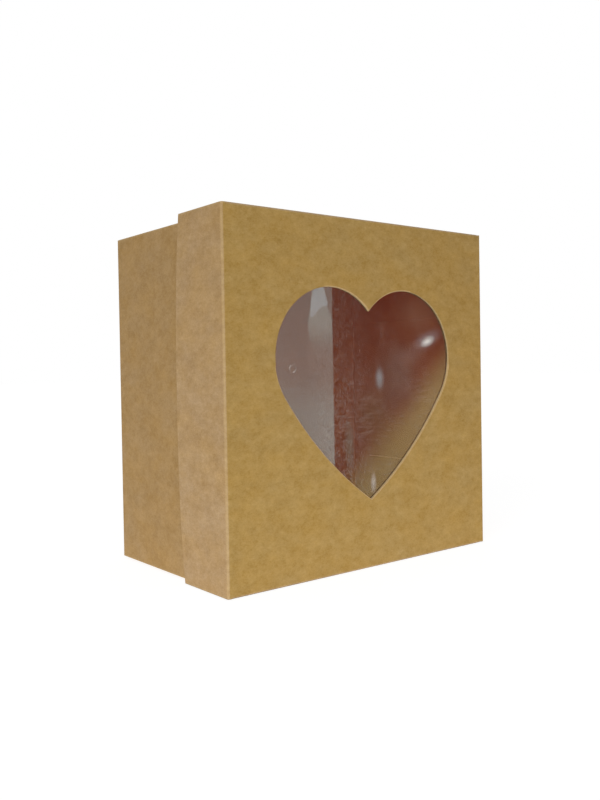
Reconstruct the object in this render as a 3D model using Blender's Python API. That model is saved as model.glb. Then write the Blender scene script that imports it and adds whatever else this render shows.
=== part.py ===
"""Kraft gift box in two trays: a square lid with a heart window, over a square base.

Each tray is one die-cut board blank, folded along creases, with a flap at each
corner glued inside the side wall next to it. The panels between the creases are
the sub-parts. The box stands on one wall of its lid: the lid's face looks along
-Y, the heart is upright along +Z, and the floor is z = 0, under the origin at the
middle of the box. Left and right are a viewer's, in front of the lid's face.
Lengths are in metres.
"""

import math
from dataclasses import dataclass

import bmesh
import bpy
from mathutils import Matrix, Vector

# Board and folds
BOARD = 0.0010
FOLD_INNER_RADIUS = 0.0003

# Gaps: along a scored crease, in a glued joint, between a flap and the base that
# slides past it, under the resting base, and between the base's rim and the lid
CREASE_GAP = 0.0003
GLUE_GAP = 0.0003
SLIP = 0.0003
REST_GAP = 0.0003
SEAT_GAP = 0.0003

# Lid: the free rims of its two side walls bow outwards, flatter than a parabola
LID_SIDE = 0.2000
LID_DEPTH = 0.0420
SIDE_BOW = 0.0030
BOW_EXPONENT = 2.5

# Base: its side follows from the lid's
BASE_DEPTH = 0.1195

# Corner flaps: length from their crease, how far each slanted side draws in, and
# how far they stay back from the fold at the tray's face and from its rim
LID_FLAP_LENGTH = 0.0360
LID_FLAP_TAPER = 0.0060
BASE_FLAP_LENGTH = 0.0480
BASE_FLAP_TAPER = 0.0140
FLAP_FOLD_CLEARANCE = 0.0015
FLAP_RIM_CLEARANCE = 0.0020

# Heart window: two round lobes that meet in a cleft and run into long flank arcs
HEART_WIDTH = 0.1356
HEART_HEIGHT = 0.1208
CLEFT_DEPTH = 0.0127
FLANK_RADIUS = 0.2160

# Clear film behind the window
FILM = 0.0003
FILM_MARGIN = 0.0120
FILM_CORNER_RADIUS = 0.0030

# Straight steps in each curved stretch
FOLD_STEPS = 6
LOBE_STEPS = 26
FLANK_STEPS = 10
BOW_STEPS = 24
FLAP_STEPS = 5
CORNER_STEPS = 4

# Colours in linear RGB, and roughness
KRAFT_FACE = (0.381, 0.238, 0.082)
KRAFT_WALL = (0.402, 0.266, 0.125)
KRAFT_BASE = (0.352, 0.221, 0.097)
FILM_TINT = (0.86, 0.88, 0.88)
KRAFT_ROUGHNESS = 0.85
FILM_ROUGHNESS = 0.08

# Sizes that follow
FOLD_OUTER_RADIUS = BOARD + FOLD_INNER_RADIUS
CLOSED_DEPTH = BOARD + SEAT_GAP + BASE_DEPTH
BASE_SIDE = LID_SIDE - 2 * (2 * BOARD + GLUE_GAP + SLIP)
BASE_BOTTOM = BOARD + REST_GAP

LEFT = Vector((-1, 0, 0))
RIGHT = Vector((1, 0, 0))
UP = Vector((0, 0, 1))
DOWN = Vector((0, 0, -1))
BACKWARD = Vector((0, 1, 0))
FORWARD = Vector((0, -1, 0))


@dataclass
class Tray:
    """One folded tray: a square face panel with four walls and four corner flaps."""

    name: str
    side: float
    depth: float
    flap_length: float
    flap_taper: float
    bow: float
    middle: Vector
    away: Vector
    material: bpy.types.Material
    parent: bpy.types.Object


def clear_scene():
    """Remove every object, so that the script can be run again."""
    for item in list(bpy.data.objects):
        bpy.data.objects.remove(item, do_unlink=True)


def make_material(name, colour, roughness, transmission=0.0):
    """Return a Principled material of one colour."""
    material = bpy.data.materials.new(name)
    material.use_nodes = True
    shader = material.node_tree.nodes["Principled BSDF"]
    shader.inputs["Base Color"].default_value = (*colour, 1.0)
    shader.inputs["Roughness"].default_value = roughness
    shader.inputs["Metallic"].default_value = 0.0
    shader.inputs["Transmission Weight"].default_value = transmission
    material.diffuse_color = (*colour, 1.0)
    return material


def add_empty(name, location):
    """Add an empty that carries one tray, on the line along which the lid slides off."""
    empty = bpy.data.objects.new(name, None)
    empty.location = location
    bpy.context.collection.objects.link(empty)
    return empty


def add_object(name, shape, material, parent, placement):
    """Turn a bmesh into a named object under its parent, with its world placement."""
    bmesh.ops.recalc_face_normals(shape, faces=shape.faces[:])
    mesh = bpy.data.meshes.new(name)
    shape.to_mesh(mesh)
    shape.free()
    mesh.materials.append(material)
    mesh.shade_smooth()
    mesh.set_sharp_from_angle(angle=math.radians(30))
    item = bpy.data.objects.new(name, mesh)
    bpy.context.collection.objects.link(item)
    item.parent = parent
    item.matrix_basis = Matrix.Translation(-parent.location) @ placement
    return item


def arc(centre, radius, start, end, steps):
    """Return points on an arc, both ends included, for angles in radians."""
    points = []
    for step in range(steps + 1):
        angle = start + (end - start) * step / steps
        x = centre[0] + radius * math.cos(angle)
        y = centre[1] + radius * math.sin(angle)
        points.append((x, y))
    return points


def extrude(outline, to_point, direction, steps=1):
    """Return a bmesh: a closed outline, each pair made a point, extruded in steps."""
    shape = bmesh.new()
    end_face = shape.faces.new([shape.verts.new(to_point(a, b)) for a, b in outline])
    for step in range(steps):
        grown = bmesh.ops.extrude_face_region(shape, geom=[end_face])["geom"]
        if step > 0:
            shape.faces.remove(end_face)
        end_face = next(part for part in grown if isinstance(part, bmesh.types.BMFace))
        bmesh.ops.translate(shape, verts=end_face.verts[:], vec=Vector(direction) / steps)
    return shape


def fold_outline(reach, reach_steps):
    """Return the cross-section of a panel with the right-angle fold at its foot.

    The first number runs inwards from the panel's outer surface. The second runs
    up the panel, from the outer surface of the board that it is folded from.
    """
    centre = (FOLD_OUTER_RADIUS, FOLD_OUTER_RADIUS)
    foot = -math.pi / 2
    side = -math.pi
    rise = (reach - FOLD_OUTER_RADIUS) / reach_steps
    heights = [FOLD_OUTER_RADIUS + rise * step for step in range(1, reach_steps + 1)]
    outline = arc(centre, FOLD_OUTER_RADIUS, foot, side, FOLD_STEPS)
    outline += [(0.0, height) for height in heights]
    outline += [(BOARD, height) for height in reversed(heights)]
    outline += arc(centre, FOLD_INNER_RADIUS, side, foot, FOLD_STEPS)
    return outline


def draw_in(shape, width, reach, taper):
    """Draw in both sides of a flap towards its free end."""
    for vert in shape.verts:
        share = max(0.0, (vert.co.z - FOLD_OUTER_RADIUS) / (reach - FOLD_OUTER_RADIUS))
        vert.co.x *= 1 - 2 * taper * share / width


def bow_outwards(shape, placement, tray):
    """Bow a panel at the tray's side: nothing at the crease and corners, most at mid rim."""
    for vert in shape.verts:
        place = placement @ vert.co - tray.middle
        across = 1 - min(1.0, abs(2 * place.z / tray.side)) ** BOW_EXPONENT
        depth = place.dot(tray.away) - FOLD_OUTER_RADIUS
        outwards = max(0.0, depth / (tray.depth - FOLD_OUTER_RADIUS))
        vert.co.y -= tray.bow * across * outwards


def build_folded_panel(tray, name, corner, inward, away, width, reach, taper=0.0, bowed=False):
    """Build a wall or a flap with its rounded fold, and put it on its corner.

    In its own axes the panel runs along X, is as thick as the board inwards along
    Y, and stands away from its crease along Z.
    """
    width_steps = BOW_STEPS if bowed and not taper else 1
    reach_steps = FLAP_STEPS if bowed and taper else 1
    outline = fold_outline(reach, reach_steps)
    shape = extrude(outline, lambda y, z: (-width / 2, y, z), (width, 0, 0), width_steps)
    draw_in(shape, width, reach, taper)
    turn = Matrix((inward.cross(away), inward, away)).transposed().to_4x4()
    placement = Matrix.Translation(corner) @ turn
    if bowed:
        bow_outwards(shape, placement, tray)
    add_object(name, shape, tray.material, tray.parent, placement)


def build_plate(name, outline, thickness, middle, material, parent):
    """Build a flat plate from an (x, z) outline round middle; its depth is along +Y."""
    shape = extrude(outline, lambda x, z: (x, 0, z), (0, thickness, 0))
    return add_object(name, shape, material, parent, Matrix.Translation(middle))


def build_face_panel(tray, name):
    """Build a tray's flat square panel, inside the folds on its four sides."""
    half = tray.side / 2 - FOLD_OUTER_RADIUS - CREASE_GAP
    outline = [(-half, -half), (half, -half), (half, half), (-half, half)]
    front = tray.middle if tray.away == BACKWARD else tray.middle + tray.away * BOARD
    return build_plate(name, outline, BOARD, front, tray.material, tray.parent)


def build_walls_and_flaps(tray):
    """Build a tray's side walls, its top and bottom walls, and the flaps between them."""
    half = tray.side / 2
    side_length = tray.side - 2 * CREASE_GAP
    for side, outward in (("left", LEFT), ("right", RIGHT)):
        corner = tray.middle + outward * half
        name = f"{tray.name}_wall_{side}"
        build_folded_panel(
            tray, name, corner, -outward, tray.away, side_length, tray.depth, bowed=True
        )

    flap_plane = half - BOARD - GLUE_GAP
    end_length = 2 * (flap_plane - FOLD_OUTER_RADIUS - CREASE_GAP)
    flap_start = FOLD_OUTER_RADIUS + FLAP_FOLD_CLEARANCE
    flap_width = tray.depth - FLAP_RIM_CLEARANCE - flap_start
    flap_middle = tray.away * (flap_start + flap_width / 2)
    for end, outward in (("top", UP), ("bottom", DOWN)):
        corner = tray.middle + outward * half
        name = f"{tray.name}_wall_{end}"
        build_folded_panel(tray, name, corner, -outward, tray.away, end_length, tray.depth)
        for side, sideways in (("left", LEFT), ("right", RIGHT)):
            build_folded_panel(
                tray,
                f"{tray.name}_flap_{end}_{side}",
                corner + sideways * flap_plane + flap_middle,
                -sideways,
                -outward,
                flap_width,
                tray.flap_length,
                tray.flap_taper,
                bowed=True,
            )


def heart_outline():
    """Return the heart's (x, z) outline round the middle of its height.

    It runs from the tip up the right side and back down the left. A lobe reaches
    the heart's full half width and passes through the cleft, which gives its
    radius. A flank passes through the tip and touches the lobe from outside, so
    its centre is known from its distances to the tip and to the lobe's centre.
    """
    half_width = HEART_WIDTH / 2
    radius = CLEFT_DEPTH + half_width - math.sqrt(2 * CLEFT_DEPTH * half_width)
    lobe = Vector((half_width - radius, HEART_HEIGHT / 2 - radius))
    tip = Vector((0.0, -HEART_HEIGHT / 2))

    apart = (lobe - tip).length
    towards = (lobe - tip) / apart
    along = (FLANK_RADIUS**2 - (FLANK_RADIUS - radius) ** 2 + apart**2) / (2 * apart)
    aside = math.sqrt(FLANK_RADIUS**2 - along**2)
    flank = tip + along * towards + aside * Vector((-towards.y, towards.x))

    from_tip = math.atan2(tip.y - flank.y, tip.x - flank.x)
    touch = math.atan2(lobe.y - flank.y, lobe.x - flank.x)
    cleft = math.acos(-lobe.x / radius)
    right = arc(flank, FLANK_RADIUS, from_tip, touch, FLANK_STEPS)
    right += arc(lobe, radius, touch, cleft, LOBE_STEPS)[1:]
    left = [(-x, z) for x, z in reversed(right[1:-1])]
    return right + left


def rounded_rectangle(width, height, radius):
    """Return a rectangle's (x, z) outline round its middle, with rounded corners."""
    outline = []
    for quarter, (right, top) in enumerate(((1, -1), (1, 1), (-1, 1), (-1, -1))):
        centre = (right * (width / 2 - radius), top * (height / 2 - radius))
        start = (quarter - 1) * math.pi / 2
        outline += arc(centre, radius, start, start + math.pi / 2, CORNER_STEPS)
    return outline


def cut_heart(panel, tray):
    """Cut the heart window through the lid's face panel."""
    middle = tray.middle - tray.away * BOARD
    outline = heart_outline()
    cutter = build_plate("heart_cutter", outline, 3 * BOARD, middle, tray.material, tray.parent)
    cutter.hide_render = True
    cutter.display_type = "WIRE"
    cut = panel.modifiers.new("heart_window", "BOOLEAN")
    cut.operation = "DIFFERENCE"
    cut.solver = "EXACT"
    cut.object = cutter


def build_lid():
    """Build the lid: its face with the heart window, walls, flaps and clear film."""
    middle = Vector((0, -CLOSED_DEPTH / 2, LID_SIDE / 2))
    tray = Tray(
        name="lid",
        side=LID_SIDE,
        depth=LID_DEPTH,
        flap_length=LID_FLAP_LENGTH,
        flap_taper=LID_FLAP_TAPER,
        bow=SIDE_BOW,
        middle=middle,
        away=BACKWARD,
        material=make_material("kraft_lid", KRAFT_WALL, KRAFT_ROUGHNESS),
        parent=add_empty("lid_tray", middle),
    )
    panel = build_face_panel(tray, "lid_face_panel")
    panel.data.materials[0] = make_material("kraft_lid_face", KRAFT_FACE, KRAFT_ROUGHNESS)
    cut_heart(panel, tray)
    build_walls_and_flaps(tray)

    clear = make_material("clear_film", FILM_TINT, FILM_ROUGHNESS, transmission=1.0)
    width = HEART_WIDTH + 2 * FILM_MARGIN
    height = HEART_HEIGHT + 2 * FILM_MARGIN
    outline = rounded_rectangle(width, height, FILM_CORNER_RADIUS)
    front = middle + BACKWARD * (BOARD + GLUE_GAP)
    build_plate("window_film", outline, FILM, front, clear, tray.parent)


def build_base():
    """Build the base: its floor, which faces backwards, its walls and its flaps."""
    middle = Vector((0, CLOSED_DEPTH / 2, BASE_BOTTOM + BASE_SIDE / 2))
    tray = Tray(
        name="base",
        side=BASE_SIDE,
        depth=BASE_DEPTH,
        flap_length=BASE_FLAP_LENGTH,
        flap_taper=BASE_FLAP_TAPER,
        bow=0.0,
        middle=middle,
        away=FORWARD,
        material=make_material("kraft_base", KRAFT_BASE, KRAFT_ROUGHNESS),
        parent=add_empty("base_tray", middle),
    )
    build_face_panel(tray, "base_floor_panel")
    build_walls_and_flaps(tray)


def main():
    """Build the whole box in its closed state."""
    clear_scene()
    build_lid()
    build_base()


main()
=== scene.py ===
"""Kraft gift box with a heart window, dressed over its CAD frame as a studio shot.

Two folded board trays, a clear window film and its glue line are modelled at the
places that the frame gives, finished as kraft board, film and glue, and lit softly
on a white floor. Lengths are in metres. The lid's face looks along -Y, the heart is
upright along +Z, and left and right are a viewer's in front of the lid.
"""

import logging
import math
from collections.abc import Callable, Iterator
from contextlib import contextmanager
from dataclasses import dataclass
from enum import Enum

import bmesh
import bpy
from mathutils import Matrix, Vector


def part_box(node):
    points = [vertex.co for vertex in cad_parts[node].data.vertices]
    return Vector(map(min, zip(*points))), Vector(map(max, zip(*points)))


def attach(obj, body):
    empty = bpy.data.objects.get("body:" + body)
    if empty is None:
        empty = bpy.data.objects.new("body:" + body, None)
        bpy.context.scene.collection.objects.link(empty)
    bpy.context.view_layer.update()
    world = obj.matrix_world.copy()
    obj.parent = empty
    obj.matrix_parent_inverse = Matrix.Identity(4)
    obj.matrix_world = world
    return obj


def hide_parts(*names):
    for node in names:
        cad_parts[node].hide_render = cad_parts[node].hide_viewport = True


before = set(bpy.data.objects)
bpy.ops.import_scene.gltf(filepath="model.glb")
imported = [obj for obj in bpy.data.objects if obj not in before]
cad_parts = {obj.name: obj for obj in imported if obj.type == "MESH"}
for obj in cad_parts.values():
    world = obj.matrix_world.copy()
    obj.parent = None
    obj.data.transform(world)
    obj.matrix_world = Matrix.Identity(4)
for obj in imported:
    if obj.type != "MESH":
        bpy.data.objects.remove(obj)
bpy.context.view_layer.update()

Colour = tuple[float, float, float, float]
Point = tuple[float, float, float]
Source = bpy.types.NodeSocket | bpy.types.Node

LOG = logging.getLogger("gift_box")
MM = 0.001
# Places closer than this count as one place
NEAR = 0.02 * MM
# Points of two mirrored halves closer than the first are merged, and points of one
# outline closer than the second
MERGE = 0.001 * MM
WELD = 0.01 * MM
# A point further past a face than this is pushed back to it
PAST = 0.0001 * MM
# A face looks along an axis if its normal has this much of it, and an edge between
# faces is square from this angle
FACING = 0.9
SQUARE = math.radians(80)
# A ray's depth is below this before its first bounce, and above it after
FIRST_BOUNCE = 0.5
# Where the photo's camera stands
EYE = (-0.3233, -0.4008, 0.1175)


# ---------------------------------------------------------------- modelling helpers


class Select(Enum):
    """What an edit-mode selection is made of: the select mode and the mesh's sequence."""

    VERTS = ("VERT", "verts")
    EDGES = ("EDGE", "edges")
    FACES = ("FACE", "faces")


def deselect_all() -> None:
    """Leave nothing selected, CAD nodes included."""
    if bpy.context.mode != "OBJECT":
        bpy.ops.object.mode_set(mode="OBJECT")
    bpy.ops.object.select_all(action="DESELECT")


@contextmanager
def edit_mode(item: bpy.types.Object) -> Iterator[None]:
    """Edit one object's mesh, and come back to object mode.

    Args:
        item: The mesh object to edit.
    """
    deselect_all()
    item.select_set(True)
    bpy.context.view_layer.objects.active = item
    bpy.ops.object.mode_set(mode="EDIT")
    bpy.ops.mesh.select_mode(type="VERT")
    try:
        yield
    finally:
        bpy.ops.object.mode_set(mode="OBJECT")


def middle_of(element: bmesh.types.BMVert | bmesh.types.BMEdge | bmesh.types.BMFace) -> Vector:
    """Give the middle of a vertex, an edge or a face.

    Args:
        element: The mesh element.

    Returns:
        Its position, or the mean of its vertices' positions.
    """
    if isinstance(element, bmesh.types.BMVert):
        return element.co
    corners = [vert.co for vert in element.verts]
    return sum(corners, Vector()) / len(corners)


def pick(item: bpy.types.Object, kind: Select, test: Callable[..., bool]) -> int:
    """Select, in edit mode, just the elements that pass a test.

    Args:
        item: The object in edit mode.
        kind: Whether vertices, edges or faces are tested.
        test: Takes an element and its middle, and says whether it is selected.

    Returns:
        The number of elements selected.
    """
    mode, sequence = kind.value
    bpy.ops.mesh.select_mode(type=mode)
    bpy.ops.mesh.select_all(action="DESELECT")
    shape = bmesh.from_edit_mesh(item.data)
    found = [part for part in getattr(shape, sequence) if test(part, middle_of(part))]
    for part in found:
        part.select_set(True)
    shape.select_flush_mode()
    bmesh.update_edit_mesh(item.data)
    return len(found)


def extrude(step: Point) -> None:
    """Extrude the selection by one step.

    Args:
        step: The movement in metres.
    """
    bpy.ops.mesh.extrude_region_move(TRANSFORM_OT_translate={"value": step})


def spin(angle: float, centre: Point, axis: Point, steps: int) -> None:
    """Extrude the selection round an axis.

    Args:
        angle: The whole turn in radians, right-handed round the axis.
        centre: A point on the axis.
        axis: The axis's direction.
        steps: The number of straight steps.
    """
    # The operator itself counts a turn left-handed
    bpy.ops.mesh.spin(steps=steps, angle=-angle, center=centre, axis=axis)


def tidy_normals() -> None:
    """Merge doubles and turn all faces outwards, in edit mode."""
    bpy.ops.mesh.select_all(action="SELECT")
    bpy.ops.mesh.remove_doubles(threshold=MERGE)
    bpy.ops.mesh.normals_make_consistent(inside=False)


def apply_modifier(item: bpy.types.Object, kind: str, **settings: object) -> None:
    """Add a modifier, set it and apply it at once.

    Args:
        item: The object that gets it.
        kind: The modifier's type.
        settings: Its properties by name.
    """
    deselect_all()
    item.select_set(True)
    bpy.context.view_layer.objects.active = item
    modifier = item.modifiers.new(kind.title(), kind)
    for name, value in settings.items():
        setattr(modifier, name, value)
    bpy.ops.object.modifier_apply(modifier=modifier.name)


def new_plane(name: str, width: float, height: float, middle: Point) -> bpy.types.Object:
    """Add a plane in the XY directions, as the start of a piece.

    Args:
        name: The piece's name.
        width: Its size along X.
        height: Its size along Y.
        middle: Where its middle goes.

    Returns:
        The new object, at the origin, with its place in its mesh.
    """
    deselect_all()
    bpy.ops.mesh.primitive_plane_add(size=1.0, location=(0, 0, 0))
    item = bpy.context.active_object
    item.name = name
    item.data.name = name
    with edit_mode(item):
        bpy.ops.mesh.select_all(action="SELECT")
        bpy.ops.transform.resize(value=(width, height, 1.0))
        bpy.ops.transform.translate(value=middle)
    return item


def finish_shape(item: bpy.types.Object, sharp_degrees: float = 40.0) -> None:
    """Shade a piece smooth between its sharp edges, with large flat faces left flat.

    Args:
        item: The finished mesh object.
        sharp_degrees: The angle past which an edge stays sharp.
    """
    deselect_all()
    item.select_set(True)
    bpy.context.view_layer.objects.active = item
    bpy.ops.object.shade_smooth_by_angle(angle=math.radians(sharp_degrees))
    apply_modifier(item, "WEIGHTED_NORMAL", keep_sharp=True, weight=100)


# ------------------------------------------------------------------------- finishes


def linear(code: str) -> Colour:
    """Turn an sRGB hex colour into the linear colour that shaders take.

    Args:
        code: Six hex digits after a hash sign.

    Returns:
        Linear red, green, blue and a full alpha.
    """

    def channel(start: int) -> float:
        value = int(code[start : start + 2], 16) / 255
        return value / 12.92 if value <= 0.04045 else ((value + 0.055) / 1.055) ** 2.4

    return (channel(1), channel(3), channel(5), 1.0)


def grey(level: float) -> Colour:
    """Give the grey of a linear level, where 1 is white."""
    return (level, level, level, 1.0)


def add_node(
    tree: bpy.types.NodeTree,
    kind: str,
    *values: object,
    inputs: dict[int | str, object] | None = None,
    **settings: object,
) -> bpy.types.Node:
    """Add a node with its settings, values and links.

    A value is a number, a colour, an output socket, or a node, which stands for its
    first output.

    Args:
        tree: The node tree that gets it.
        kind: The node's type name, without its ShaderNode prefix.
        values: What goes into its first inputs, in their order.
        inputs: What goes into its other inputs, by their name or number.
        settings: The node's own properties.

    Returns:
        The new node.
    """
    node = tree.nodes.new(f"ShaderNode{kind}")
    for name, value in settings.items():
        setattr(node, name, value)
    for key, value in (*enumerate(values), *(inputs or {}).items()):
        if isinstance(value, bpy.types.Node):
            value = value.outputs[0]
        if isinstance(value, bpy.types.NodeSocket):
            tree.links.new(value, node.inputs[key])
        else:
            node.inputs[key].default_value = value
    return node


def new_material(name: str) -> tuple[bpy.types.Material, bpy.types.NodeTree]:
    """Make a node material with no nodes yet.

    Args:
        name: The material's name.

    Returns:
        The material and its node tree.
    """
    material = bpy.data.materials.new(name)
    material.use_nodes = True
    material.node_tree.nodes.clear()
    return material, material.node_tree


@dataclass(frozen=True)
class Mottling:
    """Soft patches of one real size, stronger and weaker from place to place.

    Attributes:
        size: The patches' size along X, Y and Z.
        detail: How many finer sizes are mixed in.
        rough: How strong the finer sizes are.
        low: The level at which the patches begin.
        high: The level at which they are full.
        bottom: The result below the low level.
        top: The result above the high level.
    """

    size: Point
    detail: float = 2.0
    rough: float = 0.5
    low: float = 0.0
    high: float = 1.0
    bottom: float = 0.0
    top: float = 1.0

    def draw(self, tree: bpy.types.NodeTree, place: Source) -> bpy.types.Node:
        """Draw the patches.

        Args:
            tree: The node tree to add to.
            place: The place on the piece.

        Returns:
            The node whose output runs from bottom to top.
        """
        scale = [1 / part for part in self.size]
        spread = add_node(tree, "VectorMath", place, scale, operation="MULTIPLY")
        settings = {"Scale": 1.0, "Detail": self.detail, "Roughness": self.rough}
        noise = add_node(tree, "TexNoise", spread, inputs=settings)
        return add_node(tree, "MapRange", noise, self.low, self.high, self.bottom, self.top)


@dataclass(frozen=True)
class TrayFolds:
    """Where a tray's outer folds run: round its square face, and up its four corners.

    Attributes:
        half: Half the tray's outer side.
        middle_height: The height of the face's middle.
        front: The Y of the face's outer surface.
        away: 1 where the walls run towards +Y from the face, -1 towards -Y.
        reach: How far from a fold its stretched liner and a painted highlight show.
        full: How far from it the paling, stretched liner and painted highlight, is full.
    """

    half: float
    middle_height: float
    front: float
    away: int
    reach: float = 1.7 * MM
    full: float = 0.35 * MM

    def nearness(self, tree: bpy.types.NodeTree, place: Source) -> bpy.types.Node:
        """Give 1 on the folds, fading to 0 at their reach on the panels beside them.

        A place on a panel has one outer surface at hand, and the next nearest one
        is across the nearest fold, so the middle one of its three distances counts.

        Args:
            tree: The node tree to add to.
            place: The place on the piece.

        Returns:
            The node that gives that number.
        """
        x, y, z = add_node(tree, "SeparateXYZ", place).outputs
        within = []
        for part, middle in ((x, 0.0), (z, self.middle_height)):
            off = add_node(tree, "Math", part, middle, operation="SUBTRACT")
            off = add_node(tree, "Math", off, operation="ABSOLUTE")
            within.append(add_node(tree, "Math", self.half, off, operation="SUBTRACT"))
        deep = add_node(tree, "Math", y, self.front, operation="SUBTRACT")
        deep = add_node(tree, "Math", deep, float(self.away), operation="MULTIPLY")
        smaller = add_node(tree, "Math", *within, operation="MINIMUM")
        larger = add_node(tree, "Math", *within, operation="MAXIMUM")
        larger = add_node(tree, "Math", larger, deep, operation="MINIMUM")
        second = add_node(tree, "Math", smaller, larger, operation="MAXIMUM")
        return add_node(
            tree, "MapRange", second, self.reach, self.full, interpolation_type="SMOOTHSTEP"
        )


@dataclass(frozen=True)
class KraftBoard:
    """Unbleached kraft board, pressed from long brown fibres and left uncoated.

    To the eye it is matt and warm. Its fibres lie unevenly, which makes it cloudy at
    every size from half a millimetre up, a little longer along the grain, and its hue
    wanders. Its folds are painted pale: stretched liner, and a painted highlight.

    Attributes:
        name: The material's name.
        colour: The board's mean colour.
        contrast: How far the clouds stray from it, as a share of its brightness.
        seed: A shift that gives each board clouds of its own.
        folds: The tray whose outer folds are painted pale, as stretched liner and painted
            highlight, if any are.
        worn_and_lit: The colour of a fold's stretched liner and painted highlight.
        wear_and_light: How much of a fold is painted pale, at least and at most.
        wear_size: The size of its pale and plain stretches.
        grain: 1 for each direction, of X, Y and Z, that the fibres follow.
        stretch: How much longer the clouds are along the grain.
        cloud: The size of the largest clouds.
        drift: The size over which the hue wanders.
        warm: The warmest hue, as a share of the mean colour.
        olive: The most olive hue, as a share of the mean colour.
        greying: How much of a cloud is pale in red, green and blue alike.
        nap: The size of the fibres' relief, whose own 0.03 mm is too fine to show.
        relief: The height of that relief.
        roughness: How matt the board is.
        shine: How strongly it reflects, where plastic does by 0.5.
    """

    name: str
    colour: str
    contrast: float
    seed: float = 0.0
    folds: TrayFolds | None = None
    worn_and_lit: str = "#C9B183"
    wear_and_light: tuple[float, float] = (0.0945, 0.378)
    wear_size: float = 3 * MM
    grain: Point = (1.0, 1.0, 0.0)
    stretch: float = 1.45
    cloud: float = 8.5 * MM
    drift: float = 16 * MM
    warm: Point = (1.02, 0.99, 0.875)
    olive: Point = (0.98, 1.01, 1.125)
    greying: float = 0.45
    nap: float = 0.4 * MM
    relief: float = 0.05 * MM
    roughness: float = 0.86
    shine: float = 0.25

    def mottling(self, size: float, **levels: float) -> Mottling:
        """Give patches that are longer along the grain.

        Args:
            size: Their size across the grain.
            levels: The other values of such patches, by name.

        Returns:
            The patches.
        """
        longer = [size * (1 + (self.stretch - 1) * part) for part in self.grain]
        return Mottling(tuple(longer), **levels)

    def build(self) -> bpy.types.Material:
        """Build the board's material.

        Returns:
            The finished material.
        """
        material, tree = new_material(self.name)
        place = add_node(tree, "TexCoord").outputs["Object"]
        shift = (self.seed, self.seed * 0.7, self.seed * 1.3)
        moved = add_node(tree, "VectorMath", place, shift)
        clouds = self.mottling(
            self.cloud,
            detail=6.0,
            rough=1.0,
            low=0.2,
            high=0.8,
            bottom=-self.contrast,
            top=self.contrast,
        )
        level = clouds.draw(tree, moved)
        hues_wander = self.mottling(self.drift, detail=5.0, rough=0.7, low=0.3, high=0.7)
        drift = hues_wander.draw(tree, moved)
        base = Vector(linear(self.colour)[:3])
        hues = [(*(base * Vector(share)), 1.0) for share in (self.warm, self.olive)]
        hue = add_node(tree, "Mix", drift, inputs={6: hues[0], 7: hues[1]}, data_type="RGBA")
        # Pale fibres are greyer: to the eye, red, green and blue rise by one amount
        paling = [(base.y / part) ** self.greying for part in base]
        cloudy = add_node(tree, "VectorMath", paling, inputs={"Scale": level}, operation="SCALE")
        cloudy = add_node(tree, "VectorMath", cloudy, (1, 1, 1))
        shade = add_node(tree, "VectorMath", hue.outputs[2], cloudy, operation="MULTIPLY")
        shade = shade.outputs[0]
        # Folds painted pale: their stretched liner, and a painted highlight of the rounded fold
        if self.folds:
            patchy = self.mottling(
                self.wear_size,
                detail=3.0,
                rough=0.6,
                low=0.25,
                high=0.75,
                bottom=self.wear_and_light[0],
                top=self.wear_and_light[1],
            )
            near = self.folds.nearness(tree, place)
            worn_and_lit = add_node(tree, "Math", near, patchy.draw(tree, moved), operation="MULTIPLY")
            mix = {6: shade, 7: linear(self.worn_and_lit)}
            shade = add_node(tree, "Mix", worn_and_lit, inputs=mix, data_type="RGBA").outputs[2]
        height = self.mottling(self.nap, detail=3.0, rough=0.6).draw(tree, moved)
        relief = {"Height": height, "Strength": 0.25, "Distance": self.relief}
        surface = {
            "Base Color": shade,
            "Roughness": self.roughness,
            "Specular IOR Level": self.shine,
            "Normal": add_node(tree, "Bump", inputs=relief),
        }
        add_node(tree, "OutputMaterial", add_node(tree, "BsdfPrincipled", inputs=surface))
        return material


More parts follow.
